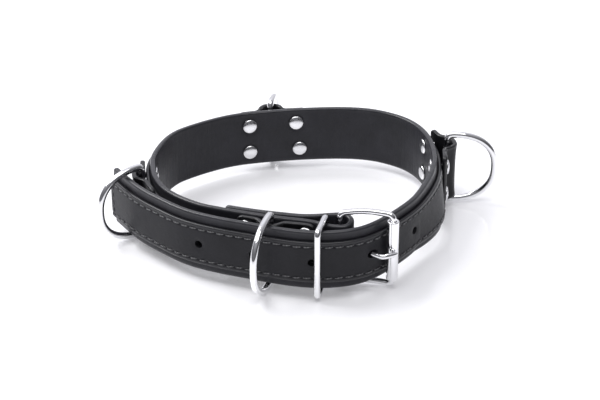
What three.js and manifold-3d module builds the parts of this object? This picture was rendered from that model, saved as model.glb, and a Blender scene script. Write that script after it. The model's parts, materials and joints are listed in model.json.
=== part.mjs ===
// A leather buckle collar, buckled up and standing on its rings: a wide base strap wound once round
// the neck and on as a tail, a stitched overlay strap, four D-rings held by riveted leather tabs,
// a roller buckle in the turned-back end of the strap, and a wire keeper loop for the tail.
import * as THREE from "three";
import { mergeVertices } from "three/addons/utils/BufferGeometryUtils.js";
import Module from "manifold-3d";

const wasm = await Module();
wasm.setup();

// ---- Driving dimensions, in millimetres ----
const GAP = 0.3; // clearance between pieces that touch on the real collar
const BAND_HEIGHT = 31;
const BASE_THICKNESS = 3;
const OVERLAY_HEIGHT = 22;
const OVERLAY_THICKNESS = 2;
const TAB_THICKNESS = 2.4;
const TAB_MARGIN = 4.8; // tab left beyond the middle of its rivets
const TAB_CORNER = 3;
const TAB_HUMP = 3.6; // half the width of the hump over a ring's bar
const LEAN = 4.6; // how far a band's height leans out, between the right tab and the buckle
const LEAN_HINGE = 11; // height above the band's middle that stays put where it leans
const LEAN_SHAPE = 0.8; // below 1, it leans most nearer to the tab
const LEAN_REACH = 5; // only what lies this near to the band's centre line leans with it
const TAIL_REACH = 190; // length of the strap's end in which the tail's places are looked for
const STRAP_BEVEL = 0.7;
const THIN_BEVEL = 0.4; // for the overlay strap and the tabs

const RING_HEIGHT = 41; // D-ring, outside, along its straight bar
const BACK_RING_HEIGHT = 39; // the ring at the back is a little smaller
const RING_DEPTH = 25.2; // from the bar's centre line to the bow's, of the larger rings
const RING_WIRE = 3.6;
const RING_CORNER = 2.6;
const RING_FULLNESS = 2.3; // exponent of the bow's curve: 2 is an ellipse, more is squarer

const FRAME_WIRE = 3;
const FRAME_HEIGHT = 38; // buckle frame, between wire centre lines
const FRAME_CORNER = 2.4;
const FRAME_BOW = 2.6; // how far the frame's sides bend away from the straight
const ROLLER_RADIUS = 2.9;
const ROLLER_BORE = 1.75;
const ROLLER_LENGTH = 32;
const PRONG_WIRE = 2.6;
const PRONG_EYE = 3.1; // radius of the prong's eye, to its wire's centre line
const KEEPER_WIRE = 3.2;
const KEEPER_HEIGHT = 35.6; // between wire centre lines
const KEEPER_CORNER = 2.6;
const BUCKLE_LIFT = 1; // the buckle hangs a little above the band's middle

const HOLE_RADIUS = 2; // adjustment holes
const HOLE_CUT = [-2.4, 4.4]; // from inside the base strap to outside the overlay strap
const HOLES = [-30, 30, 58.5, 87]; // adjustment holes, from the one in use, which is pulled long
const SLANT_HOLE = new THREE.Vector3(15, 5, 3.8); // cut for the prong through the strap
const SLANT_TURN = -0.4;
const SLANT_SHIFT = [1, -0.6]; // from the middle of the prong's route to the middle of its hole
const FOLD_SLOT = new THREE.Vector3(12, 18, 4.4); // cut for the prong through the fold
const SLOT_SHIFT = [1.2, 1]; // from the heel bar and the fold's centre to the middle of the slot
const RIVET_HEAD = 4;
const RIVET_DOME = 1.3;
const RIVET_RIM = 0.35; // height of a head's upright edge
const RIVET_FLAT = 0.6; // share of a head's radius that its flat crown takes
const RIVET_POST = 1.5;
const HEAD_GAP = 0.5; // under a flat head, where the leather curves up to its rim
const FLAP_SLACK = 0.7; // more of it inside the turned-back end, which isn't parallel to the band

// The rings are taller than the band, so they carry it clear of the surface below.
const MID_Z = RING_HEIGHT / 2;

// ---- Plan of the strap: the centre line of the base strap, seen from above ----
const PLAN_CENTRE = new THREE.Vector2(1.1, 5.01); // puts the origin in the middle of the bounding box
const FLAP_ROUTE = [[-36.4, -45], [-24, -49.1], [-12, -52.3], [4, -55.5], [11, -56.2], [19.8, -55.4]];
const FOLD_CENTRE = new THREE.Vector2(19.8, -60.4);
const FOLD_RADIUS = 5;
const BAND_ROUTE = [
  [19.8, -65.4], [14, -64.3], [8, -61.2], [2, -59.1], [-4, -57.8], [-13, -55.7], [-25, -52.2], [-38.7, -47.6],
  [-51, -42], [-64.6, -30], [-72, -16.5], [-75, -3], [-75.2, 12], [-69.4, 31], [-59.6, 42.7],
  [-38, 56.7], [-14, 63.3], [14, 66.4], [36, 65], [52.4, 57.2], [62.5, 46], [68.2, 30],
  [69.6, 10], [67, -10], [58, -33.5], [46, -51], [34, -63.4], [24, -69], [12, -71.2], [0, -70.4],
  [-13, -67], [-26, -62.2], [-40.4, -56.7], [-55, -49], [-68, -37.8], [-81, -24], [-94.1, -4.4],
];

// ---- Where the hardware sits ----
// near: where the ring's bar crosses the band; rise: how far its centre stands off the leather;
// rivets: their places along the tab from the bar; skew: how much further out the last lower rivet
// sits; height: the tab's; spread: half the height between its rivets; swing: the way the ring
// points, seen from above; lift: how far the middle of the ring hangs above the band's.
const TABS = [
  {
    side: "front", near: [-13, -55.6], rise: 2.1, rivets: [-17.6, 12.5], skew: 0, height: 30,
    spread: 9.3, swing: -108.5, ringHeight: RING_HEIGHT, lift: 0,
  },
  {
    side: "left", near: [-74.2, -8.5], rise: 2.3, rivets: [-12.9, 10.5], skew: 0, height: 30,
    spread: 7.8, swing: 217.5, ringHeight: RING_HEIGHT, lift: 0,
  },
  {
    side: "back", near: [-15.2, 63], rise: 2.6, rivets: [-12.9, 12.9], skew: 1.9, height: 29,
    spread: 7.8, swing: 80, ringHeight: BACK_RING_HEIGHT, lift: (BACK_RING_HEIGHT - RING_HEIGHT) / 2,
  },
  {
    side: "right", near: [69.3, 24], rise: 4.4, rivets: [-11.4, 12.9], skew: 0, height: 31,
    spread: 7.8, swing: 0, ringHeight: RING_HEIGHT, lift: 0.8,
  },
];
const HEEL_BAR = new THREE.Vector2(19.2, -60.9);
const END_BAR = new THREE.Vector2(44.7, -63.4);
const PRONG_ROUTE = [
  [19.7, HEEL_BAR.y - PRONG_EYE], [26, -63.9], [32, -65.6], [37, -68.9],
  [40, -70.2], [44, -68.7], [47.2, -67],
];
const KEEPER_BACK = new THREE.Vector2(12.4, -59.9);
const KEEPER_FRONT_X = 8.2;
const OVERLAY_START_NEAR = [-32.5, -49.8]; // the overlay strap begins beyond the front tab
const OVERLAY_SHORT = 0.8; // how far it ends before the tail's tip
const USED_HOLE_NEAR = [34, -63.2];
const LEAN_NEAR = [[69.7, 6], [48, -48]]; // from the end of the right tab to the buckle

// ---- Materials ----
const leather = (colour) =>
  new THREE.MeshStandardMaterial({ color: colour, roughness: 0.55, metalness: 0 });
const chrome = () => new THREE.MeshStandardMaterial({ color: 0xd9dbde, roughness: 0.14, metalness: 1 });

// ---- Solids: three.js geometry in, manifold-3d for joining and cutting ----
function toSolid(geometry) {
  const bare = geometry.index ? geometry.toNonIndexed() : geometry.clone();
  for (const key of ["normal", "uv"]) bare.deleteAttribute(key);
  const merged = mergeVertices(bare, 1e-4);
  const make = (triVerts) =>
    new wasm.Manifold(
      new wasm.Mesh({ numProp: 3, vertProperties: merged.attributes.position.array, triVerts }),
    );
  const triVerts = new Uint32Array(merged.index.array);
  const solid = make(triVerts);
  return solid.volume() < 0 ? make(triVerts.slice().reverse()) : solid;
}

function toGeometry(solid) {
  const mesh = solid.getMesh();
  const positions = new Float32Array(mesh.numVert * 3);
  for (let i = 0; i < mesh.numVert; i++)
    positions.set(mesh.vertProperties.subarray(i * mesh.numProp, i * mesh.numProp + 3), i * 3);
  const geometry = new THREE.BufferGeometry();
  geometry.setAttribute("position", new THREE.BufferAttribute(positions, 3));
  geometry.setIndex(new THREE.BufferAttribute(mesh.triVerts, 1));
  geometry.computeVertexNormals();
  return geometry;
}

function addPiece(parent, name, solid, material) {
  const mesh = new THREE.Mesh(toGeometry(solid), material);
  mesh.name = name;
  parent.add(mesh);
  return mesh;
}

// ---- The strap's route as a fine polyline with its length, direction and outward side ----
function routePoints() {
  const smooth = (points, count) =>
    new THREE.SplineCurve(points.map(([x, y]) => new THREE.Vector2(x, y))).getSpacedPoints(count);
  const fold = new THREE.EllipseCurve(
    FOLD_CENTRE.x, FOLD_CENTRE.y, FOLD_RADIUS, FOLD_RADIUS, Math.PI / 2, -Math.PI / 2, true,
  ).getSpacedPoints(40);
  return [...smooth(FLAP_ROUTE, 120), ...fold.slice(1), ...smooth(BAND_ROUTE, 1400).slice(1)];
}

class Route {
  constructor(points) {
    this.points = points;
    this.lengths = [0];
    for (let i = 1; i < points.length; i++)
      this.lengths.push(this.lengths[i - 1] + points[i].distanceTo(points[i - 1]));
    this.length = this.lengths.at(-1);
  }

  // The place at distance s, with its direction and its outward side, away from the neck.
  at(s) {
    const clamped = Math.min(Math.max(s, 0.01), this.length - 0.01);
    const i = this.lengths.findIndex((length) => length > clamped);
    const [a, b] = [this.points[i - 1], this.points[i]];
    const t = (clamped - this.lengths[i - 1]) / (this.lengths[i] - this.lengths[i - 1]);
    const wide = [this.points[Math.max(i - 3, 0)], this.points[Math.min(i + 2, this.points.length - 1)]];
    const along = wide[1].clone().sub(wide[0]).normalize();
    return { place: a.clone().lerp(b, t), along, out: new THREE.Vector2(-along.y, along.x) };
  }

  // A point at distance s, offset outward from the centre line.
  offset(s, out) {
    const { place, out: side } = this.at(s);
    return place.clone().addScaledVector(side, out);
  }

  // The distance along the route of its point nearest to a place, between two distances.
  nearest([x, y], from = 0, to = this.length) {
    const target = new THREE.Vector2(x, y);
    let best = { gap: Infinity, s: from };
    this.points.forEach((point, i) => {
      const gap = point.distanceTo(target);
      const s = this.lengths[i];
      if (s >= from && s <= to && gap < best.gap) best = { gap, s };
    });
    return best.s;
  }
}

const route = new Route(routePoints());
const foldStart = new THREE.SplineCurve(FLAP_ROUTE.map(([x, y]) => new THREE.Vector2(x, y))).getLength();
const foldEnd = foldStart + Math.PI * FOLD_RADIUS;
const tailStart = route.length - TAIL_REACH;

// Stations along the strap, close together round the fold and where the band leans, and wider
// elsewhere. The strips share them, so that their faces run side by side.
const STATION_STEP = { fold: 1.6, lean: 2.6, plain: 7.5 };
const leanStart = route.nearest(LEAN_NEAR[0], foldEnd, tailStart);
const leanEnd = route.nearest(LEAN_NEAR[1], foldEnd, tailStart);
const routeStations = [];
for (let s = 0; s < route.length; ) {
  routeStations.push(s);
  if (s > foldStart - 2 && s < foldEnd + 1) s += STATION_STEP.fold;
  else s += s > leanStart - 4 && s < leanEnd ? STATION_STEP.lean : STATION_STEP.plain;
}

function stations(from, to) {
  return [from, ...routeStations.filter((s) => s > from + 1 && s < to - 1), to];
}

// A strip standing on edge: its plan is the band between two offsets from the route.
function strip(stops, inner, outer, height, bevel) {
  const outline = [
    ...stops.map((s) => route.offset(s, outer(s))),
    ...stops.toReversed().map((s) => route.offset(s, inner(s))),
  ];
  const geometry = new THREE.ExtrudeGeometry(new THREE.Shape(outline), {
    depth: height - 2 * bevel,
    bevelSize: bevel,
    bevelThickness: bevel,
    bevelOffset: -bevel,
    bevelSegments: 1,
  });
  return toSolid(geometry.translate(0, 0, MID_Z - height / 2 + bevel));
}

// A round bar through the strap at distance s and height z, pointing outward.
function crossBar(s, z, radius, from, to, segments = 14) {
  const { along } = route.at(s);
  const middle = route.offset(s, (from + to) / 2);
  const bar = new THREE.CylinderGeometry(radius, radius, to - from, segments);
  return toSolid(bar.rotateZ(Math.atan2(along.y, along.x)).translate(middle.x, middle.y, z));
}

// ---- Wire pieces ----
const WIRE_SIDES = 8;
const [RING_STEPS, FRAME_STEPS, KEEPER_STEPS, PRONG_STEPS] = [17, 26, 24, 20]; // sections along them
const disc = (radius) => {
  const circle = new THREE.EllipseCurve(0, 0, radius, radius);
  return new THREE.Shape(circle.getPoints(WIRE_SIDES).slice(0, -1));
};

// A tube along a path of (u, w) points; u runs along a level direction and w is height.
// bow gives how far the path stands aside from its plane at u.
function wire(points, diameter, steps, bow) {
  const path = new THREE.CatmullRomCurve3(
    points.map(([u, w]) => new THREE.Vector3(u, bow(u), w)), false, "centripetal",
  );
  return toSolid(new THREE.ExtrudeGeometry(disc(diameter / 2), { steps, extrudePath: path }));
}

// A closed wire shape that is the same above and below its middle, from the path of its upper half.
function mirroredWire(points, diameter, steps, bow = () => 0) {
  const lower = points.map(([u, w]) => [u, -w]);
  return wire(points, diameter, steps, bow).add(wire(lower, diameter, steps, bow));
}

const cornerArc = (u, w, radius, from, to) =>
  [0, 0.33, 0.67, 1].map((t) => {
    const angle = THREE.MathUtils.degToRad(from + (to - from) * t);
    return [u + radius * Math.cos(angle), w + radius * Math.sin(angle)];
  });

// The upper half of a rectangle with round corners, from u = 0 to u = width.
const halfRectangle = (width, height, corner) => [
  [0, 0], [0, height / 4], [0, height / 2 - corner - 1],
  ...cornerArc(corner, height / 2 - corner, corner, 180, 90),
  [corner + 1, height / 2], [width - corner - 1, height / 2],
  ...cornerArc(width - corner, height / 2 - corner, corner, 90, 0),
  [width, height / 2 - corner - 1], [width, height / 4], [width, 0],
];

function ringHalf(height) {
  const top = (height - RING_WIRE) / 2;
  const depth = (RING_DEPTH * height) / RING_HEIGHT;
  const bow = [];
  for (let angle = 80; angle >= 0; angle -= 10) {
    const [c, s] = [Math.cos((angle * Math.PI) / 180), Math.sin((angle * Math.PI) / 180)];
    bow.push([
      RING_CORNER + (depth - RING_CORNER) * c ** (2 / RING_FULLNESS),
      top * s ** (2 / RING_FULLNESS),
    ]);
  }
  const corner = cornerArc(RING_CORNER, top - RING_CORNER, RING_CORNER, 180, 90);
  return [[0, 0], [0, top / 2], [0, top - RING_CORNER - 1], ...corner, ...bow];
}

// ---- Tabs: leather strips that hump over the bar of a D-ring ----
const TAB_STEP = { hump: 1.2, flat: 2.6 }; // between the stations along a tab
const bandFace = BASE_THICKNESS / 2 + GAP + OVERLAY_THICKNESS; // outer face of the overlay strap

function tabRise(u, tab) {
  const peak = tab.rise + RING_WIRE / 2 + GAP;
  return GAP + (peak - GAP) / (1 + (u / TAB_HUMP) ** 4);
}

const tabEnds = ({ rivets, skew }) => [rivets[0] - TAB_MARGIN, rivets[1] + skew + TAB_MARGIN];

function tabSolid(tab) {
  const [start, end] = tabEnds(tab);
  const stops = [];
  const step = (u) => (Math.abs(u) < 2 * TAB_HUMP ? TAB_STEP.hump : TAB_STEP.flat);
  for (let u = start; u < end - 1; u += step(u)) stops.push(tab.s + u);
  stops.push(tab.s + end);
  const inner = (s) => tab.face + tabRise(s - tab.s, tab);
  const outer = (s) => {
    const slope = (inner(s + 0.2) - inner(s - 0.2)) / 0.4;
    return inner(s) + TAB_THICKNESS * Math.hypot(1, slope);
  };
  return strip(stops, inner, outer, tab.height, THIN_BEVEL);
}

// What is cut away to round one corner of a tab: the square corner less a round bar.
function cornerCut(tab, end, side) {
  const s = tab.s + end - Math.sign(end) * TAB_CORNER;
  const z = MID_Z + side * (tab.height / 2 - TAB_CORNER);
  const [from, to] = [tab.face - 1, tab.face + TAB_THICKNESS + 3];
  const { along } = route.at(s);
  const middle = route.offset(s, (from + to) / 2)
    .addScaledVector(along, Math.sign(end) * TAB_CORNER);
  const square = new THREE.BoxGeometry(2 * TAB_CORNER, to - from, 2 * TAB_CORNER)
    .rotateZ(Math.atan2(along.y, along.x))
    .translate(middle.x, middle.y, z + side * TAB_CORNER);
  return toSolid(square).subtract(crossBar(s, z, TAB_CORNER, from - 1, to + 1, 24));
}

// ---- Rivets: a domed head on each side of the leather ----
function rivet(s, z, from, to) {
  const dome = (sign, face) => [
    [RIVET_HEAD, face], [RIVET_HEAD, face + sign * RIVET_RIM],
    [RIVET_HEAD * RIVET_FLAT, face + sign * RIVET_DOME], [0, face + sign * RIVET_DOME],
  ];
  const profile = [
    ...dome(-1, from).reverse(), [RIVET_POST, from], [RIVET_POST, to], ...dome(1, to),
  ].map(([r, y]) => new THREE.Vector2(r, y));
  const { along } = route.at(s);
  const foot = route.offset(s, 0);
  const body = new THREE.LatheGeometry(profile, 10);
  return toSolid(body.rotateZ(Math.atan2(along.y, along.x)).translate(foot.x, foot.y, z));
}

// ---- Build ----
for (const tab of TABS) {
  tab.s = route.nearest(tab.near, foldEnd);
  tab.face = tab.side === "front" ? BASE_THICKNESS / 2 : bandFace;
}
const overlayStart = route.nearest(OVERLAY_START_NEAR, foldEnd);
const usedHoleS = route.nearest(USED_HOLE_NEAR, tailStart);
const postHole = RIVET_POST + GAP;

const collar = new THREE.Group();
collar.position.set(PLAN_CENTRE.x, PLAN_CENTRE.y, 0).negate();

// Between the right tab and the buckle the band leans, its lower edge outward.
function leaned(solid) {
  return solid.warp((vertex) => {
    const s = route.nearest(vertex, leanStart - 20, leanEnd + 20);
    const t = THREE.MathUtils.clamp((s - leanStart) / (leanEnd - leanStart), 0, 1);
    const drop = (MID_Z + LEAN_HINGE - vertex[2]) / BAND_HEIGHT;
    const amount = LEAN * Math.sin(Math.PI * t ** LEAN_SHAPE) * drop;
    const { place, out } = route.at(s);
    const gap = Math.hypot(vertex[0] - place.x, vertex[1] - place.y);
    if (t <= 0 || t >= 1 || gap > LEAN_REACH) return;
    vertex[0] += out.x * amount;
    vertex[1] += out.y * amount;
  });
}

const [baseInside, baseOutside] = [-BASE_THICKNESS / 2, BASE_THICKNESS / 2];
let base = leaned(strip(
  stations(0, route.length), () => baseInside, () => baseOutside, BAND_HEIGHT, STRAP_BEVEL,
));
let overlay = leaned(strip(
  stations(overlayStart, route.length - OVERLAY_SHORT),
  () => baseOutside + GAP, () => bandFace, OVERLAY_HEIGHT, THIN_BEVEL,
));

for (const distance of HOLES) {
  const hole = crossBar(usedHoleS + distance, MID_Z, HOLE_RADIUS, ...HOLE_CUT);
  base = base.subtract(hole);
  overlay = overlay.subtract(hole);
}

// The hole in use is pulled out of round by the prong, which runs through it at a slant.
const [slantX, slantY] = PRONG_ROUTE[2];
const slantBox = new THREE.BoxGeometry(SLANT_HOLE.x, SLANT_HOLE.y, SLANT_HOLE.z).rotateZ(SLANT_TURN);
slantBox.translate(slantX + SLANT_SHIFT[0], slantY + SLANT_SHIFT[1], MID_Z + BUCKLE_LIFT);
const slant = toSolid(slantBox);
base = base.subtract(slant);
overlay = overlay.subtract(slant);

// The fold is slotted for the prong's eye and shank.
const slotBox = new THREE.BoxGeometry(FOLD_SLOT.x, FOLD_SLOT.y, FOLD_SLOT.z);
slotBox.translate(HEEL_BAR.x + SLOT_SHIFT[0], FOLD_CENTRE.y + SLOT_SHIFT[1], MID_Z + BUCKLE_LIFT);
base = base.subtract(toSolid(slotBox));

// How far inside the band the turned-back end of the strap lies at distance s.
function flapDepth(s) {
  const { place } = route.at(s);
  return route.at(route.nearest(place.toArray(), 0, foldStart)).place.distanceTo(place);
}

function rivetPlaces(tab) {
  const places = [];
  for (const u of tab.rivets)
    for (const side of [1, -1])
      places.push({ u: u > 0 && side < 0 ? u + tab.skew : u, z: MID_Z + side * tab.spread });
  return places;
}

for (const tab of TABS) {
  let body = tabSolid(tab);
  for (const end of tabEnds(tab))
    for (const side of [-1, 1]) body = body.subtract(cornerCut(tab, end, side));
  rivetPlaces(tab).forEach(({ u, z }, i) => {
    const s = tab.s + u;
    const depth = tab.side === "front" ? flapDepth(s) + FLAP_SLACK : 0;
    const from = -depth - BASE_THICKNESS / 2 - HEAD_GAP;
    const to = tab.face + tabRise(u, tab) + TAB_THICKNESS + GAP;
    base = base.subtract(crossBar(s, z, postHole, from - 1, BASE_THICKNESS / 2 + 1));
    overlay = overlay.subtract(crossBar(s, z, postHole, 1, bandFace + 1));
    body = body.subtract(crossBar(s, z, postHole, tab.face - 1, to + 1));
    addPiece(collar, `${tab.side}_tab_rivet_${i + 1}`, rivet(s, z, from, to), chrome());
  });
  addPiece(collar, `ring_tab_${tab.side}`, body, leather(0x242427));
}

addPiece(collar, "base_strap", base, leather(0x29292c));
addPiece(collar, "overlay_strap", overlay, leather(0x232326));

function placeLevel(mesh, x, y, degrees, z = MID_Z) {
  mesh.position.set(x, y, z);
  mesh.rotation.z = THREE.MathUtils.degToRad(degrees);
}

for (const tab of TABS) {
  const bar = route.offset(tab.s, tab.face + tab.rise);
  const ring = mirroredWire(ringHalf(tab.ringHeight), RING_WIRE, RING_STEPS);
  const mesh = addPiece(collar, `d_ring_${tab.side}`, ring, chrome());
  placeLevel(mesh, bar.x, bar.y, tab.swing, MID_Z + tab.lift);
}

function addBuckle() {
  const reach = END_BAR.clone().sub(HEEL_BAR);
  const turn = THREE.MathUtils.radToDeg(reach.angle());
  const width = reach.length();
  const bow = (u) => FRAME_BOW * Math.sin((Math.PI * u) / width);
  const frameHalf = halfRectangle(width, FRAME_HEIGHT, FRAME_CORNER);
  const frame = mirroredWire(frameHalf, FRAME_WIRE, FRAME_STEPS, bow);
  const middle = MID_Z + BUCKLE_LIFT;
  placeLevel(addPiece(collar, "buckle_frame", frame, chrome()), HEEL_BAR.x, HEEL_BAR.y, turn, middle);

  const half = ROLLER_LENGTH / 2;
  const wall = [
    [ROLLER_BORE, -half], [ROLLER_RADIUS, -half], [ROLLER_RADIUS, half], [ROLLER_BORE, half],
    [ROLLER_BORE, -half],
  ].map(([r, y]) => new THREE.Vector2(r, y));
  const tube = toSolid(new THREE.LatheGeometry(wall, 20).rotateX(Math.PI / 2));
  placeLevel(addPiece(collar, "buckle_roller", tube, chrome()), END_BAR.x, END_BAR.y, 0, middle);

  const section = new THREE.EllipseCurve(PRONG_EYE, 0, PRONG_WIRE / 2, PRONG_WIRE / 2);
  const loop = new THREE.LatheGeometry(section.getPoints(WIRE_SIDES), 16).rotateX(Math.PI / 2);
  const eye = toSolid(loop.translate(HEEL_BAR.x, HEEL_BAR.y, 0));
  const path = new THREE.CatmullRomCurve3(PRONG_ROUTE.map(([x, y]) => new THREE.Vector3(x, y, 0)));
  const bar = new THREE.ExtrudeGeometry(disc(PRONG_WIRE / 2), { steps: PRONG_STEPS, extrudePath: path });
  const prong = addPiece(collar, "buckle_prong", eye.add(toSolid(bar)), chrome());
  prong.position.z = middle;
}
addBuckle();

function addKeeper() {
  const tailFace = route.offset(route.nearest([KEEPER_FRONT_X, -71], tailStart), bandFace);
  const front = new THREE.Vector2(KEEPER_FRONT_X, tailFace.y - GAP - KEEPER_WIRE / 2);
  const reach = front.sub(KEEPER_BACK);
  const loopHalf = halfRectangle(reach.length(), KEEPER_HEIGHT, KEEPER_CORNER);
  const loop = mirroredWire(loopHalf, KEEPER_WIRE, KEEPER_STEPS);
  const turn = THREE.MathUtils.radToDeg(reach.angle());
  placeLevel(addPiece(collar, "keeper_loop", loop, chrome()), KEEPER_BACK.x, KEEPER_BACK.y, turn);
}
addKeeper();

export default collar;
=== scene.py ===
"""A heavy leather buckle collar with four D-rings, buckled up on a pale studio floor.

The CAD frame gives the sizes and the joints' places. This script adds the looks: the leather with
its rolled edges, stitching, punched holes and riveted tabs, and the bright bent wire.
Lengths are in millimetres until a mesh is made, which is in metres.
"""

import json
import math

import bmesh
import bpy
import numpy as np
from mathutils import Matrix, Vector


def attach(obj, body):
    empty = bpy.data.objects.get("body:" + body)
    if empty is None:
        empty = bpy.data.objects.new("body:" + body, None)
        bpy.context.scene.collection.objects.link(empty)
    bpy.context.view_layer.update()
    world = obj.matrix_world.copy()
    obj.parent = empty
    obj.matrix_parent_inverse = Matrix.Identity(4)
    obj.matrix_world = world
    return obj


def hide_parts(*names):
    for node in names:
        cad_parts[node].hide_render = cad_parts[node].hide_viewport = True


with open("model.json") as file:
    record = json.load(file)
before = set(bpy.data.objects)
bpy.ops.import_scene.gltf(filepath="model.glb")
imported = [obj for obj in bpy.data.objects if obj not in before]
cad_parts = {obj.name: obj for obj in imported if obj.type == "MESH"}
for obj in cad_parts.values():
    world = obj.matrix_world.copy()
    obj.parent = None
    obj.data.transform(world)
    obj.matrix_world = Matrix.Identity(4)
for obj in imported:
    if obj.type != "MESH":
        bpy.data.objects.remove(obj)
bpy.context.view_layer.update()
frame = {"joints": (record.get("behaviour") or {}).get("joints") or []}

MM = 0.001

# ---- Sizes that the CAD model has too, in millimetres ----
MID_Z = 20.5  # the middle of the band's height
BASE_HALF = 1.5  # half the base strap's thickness
GAP = 0.3
OVERLAY_HALF_HEIGHT = 11.0
OVERLAY_THICKNESS = 2.0
OVERLAY_SHORT = 0.8  # how far it ends before the tail's tip
BAND_FACE = BASE_HALF + GAP + OVERLAY_THICKNESS
TAB_THICKNESS = 2.4
TAB_MARGIN = 4.8  # tab left beyond the middle of its rivets
TAB_CORNER = 3.0
TAB_HUMP = 3.6  # half the width of the hump over a ring's bar
LEAN_HINGE = 11.0  # height above the band's middle that stays put where it leans
LEAN_SHAPE = 0.8  # below 1, it leans most nearer to the tab
RING_WIRE = 3.6
RING_HEIGHT = {"front": 41.0, "left": 41.0, "back": 39.0, "right": 41.0}
RING_LIFT = {"front": 0.0, "left": 0.0, "back": -1.0, "right": 0.8}  # of its middle above the band's
RING_DEPTH = 25.2
RING_CORNER = 2.6
RING_FULLNESS = 2.3  # exponent of the bow's curve: 2 is an ellipse, more is squarer
FRAME_WIRE = 3.0
FRAME_HEIGHT = 38.0
FRAME_CORNER = 2.4
FRAME_BOW = 2.6  # how far the frame's sides bend away from the straight
ROLLER_RADIUS = 2.9
ROLLER_BORE = 1.75
ROLLER_LENGTH = 32.0
PRONG_WIRE = 2.6
PRONG_EYE = 3.1
KEEPER_WIRE = 3.2
KEEPER_HEIGHT = 35.6
KEEPER_CORNER = 2.6
BUCKLE_Z = MID_Z + 1.0  # the buckle hangs a little above the band's middle
HOLE_RADIUS = 2.0
HOLES = (-30.0, 30.0, 58.5, 87.0)  # from the hole in use, along the strap
RIVET_HEAD = 4.0
RIVET_DOME = 1.3
RIVET_POST = 1.5
RIVET_Z = {"front": 9.3, "left": 7.8, "back": 7.8, "right": 7.8}  # half the height between two
RIVET_PLACES = {  # along the strap from the ring's bar
    "front": (-17.6, 12.5),
    "left": (-12.9, 10.5),
    "back": (-12.9, 12.9),
    "right": (-11.4, 12.9),
}
RIVET_SKEW = {"front": 0.0, "left": 0.0, "back": 1.9, "right": 0.0}  # of the last lower rivet
TAB_HEIGHT = {"front": 30.0, "left": 30.0, "back": 29.0, "right": 31.0}
FLAP_SLACK = 0.7  # more rivet inside the turned-back end, which isn't parallel to the band
FOLD_SLOT = (12.0, 18.0, 4.4)  # cut for the prong through the fold
FOLD_SLOT_SHIFT = (1.2, 1.5)  # from the heel bar to the slot's middle
SWING = {"front": -108.5, "left": 217.5, "back": 80.0, "right": 0.0}  # each ring's heading at rest

# ---- Sizes that only the look has, in millimetres ----
BAND_HALF = 15.6  # half the band's height, with its rolled edges
LEAN = 5.3  # how far the band's height leans out, between the right tab and the buckle
SWAY = 0.22  # how far the strap wanders up and down along its length
FOLD_LIFT = 1.3  # the turned-back end rides this much high beside the fold
STRAP_CORNER = 1.6
BASE_EDGE = 1.15  # radius of the rolled edges
OVERLAY_EDGE = 0.8
TAB_EDGE = 0.9
RIM_HEIGHT = 2.4  # of the edge that is waxed, and lighter partly by wear and partly by a painted highlight
SHARP_ANGLE = 38  # degrees between the faces of a cut edge
PUNCH_SPAN = (-3.5, 6.0)  # from inside the base strap to outside the overlay strap
HOLE_FLARE = 0.35
KEEPER_DENT = 0.3
USED_HOLE_SIZE = (2.9, 2.1)  # half its width and height
TENT = {"right": 5.6}  # the right tab stands off further behind its ring's bar
WAIST = {"back": 0.08}  # share of its height that the back tab gives up beside its hump
TAB_CURL = 0.7  # how far a tab's long edges curl out on its hump
STITCH_Z = 8.5
STITCH_PITCH = 4.8
STITCH_LENGTH = 3.5
GROOVE = 0.22
GROOVE_WIDTH = 0.55
THREAD_RADIUS = 0.36
TIP_INSET = 2.6  # of the stitching across the tail's tip
TAB_CLEARANCE = 19.6  # from a ring's bar to the nearest stitch
RIVET_STAND = 0.22  # how far an inner head's rim stands off the leather
ROLLER_EDGE = 0.45
SEAM_ANGLE = 4.29  # of the roller's seam, in radians
SEAM_DEPTH = 0.25

# ---- Light ----
WORLD_BACK = 0.85  # brightness of the backdrop
WORLD_TOP = 0.25  # more of it overhead
WORLD_RIGHT = 0.6  # share of the backdrop's brightness that is left on the right
FLOOR_PAINTED_LIGHT = 0.2  # painted light: the floor glows to lift the shadows of the white sweep, and glows more away from the collar

# ---- The strap's route, seen from above ----
PLAN_CENTRE = np.array([1.1, 5.01])  # the row frame's origin in the plan that the route is drawn on
FLAP_ROUTE = [(-36.4, -45), (-24, -49.1), (-12, -52.3), (4, -55.5), (11, -56.2), (19.8, -55.4)]
FOLD_CENTRE = np.array([19.8, -60.4])
FOLD_RADIUS = 5.0
TAIL_REACH = 190.0  # what lies this near to the route's end is the tail
BAND_ROUTE = [
    (19.8, -65.4), (14, -64.3), (8, -61.2), (2, -59.1), (-4, -57.8), (-13, -55.7), (-25, -52.2),
    (-38.7, -47.6), (-51, -42), (-64.6, -30), (-72, -16.5), (-75, -3), (-75.2, 12), (-69.4, 31),
    (-59.6, 42.7), (-38, 56.7), (-14, 63.3), (14, 66.4), (36, 65), (52.4, 57.2), (62.5, 46),
    (68.2, 30), (69.6, 10), (67, -10), (58, -33.5), (46, -51), (34, -63.4), (24, -69), (12, -71.2),
    (0, -70.4), (-13, -67), (-26, -62.2), (-40.4, -56.7), (-55, -49), (-68, -37.8), (-81, -24),
    (-94.1, -4.4),
]
OVERLAY_START_NEAR = (-32.5, -49.8)
USED_HOLE_NEAR = (34, -63.2)
LEAN_NEAR = ((69.7, 6), (48, -48))
USED_HOLE_MIDDLE = (33, -66.2)
USED_HOLE_SLANT = -0.4  # radians
PRONG_ROUTE = [
    (19.7, -64.0), (26, -63.9), (32, -65.6), (37, -68.9), (40, -70.2), (44, -68.7), (47.2, -67),
]
KEEPER_BACK = (12.4, -59.9)
KEEPER_FRONT_X = 8.2


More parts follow.
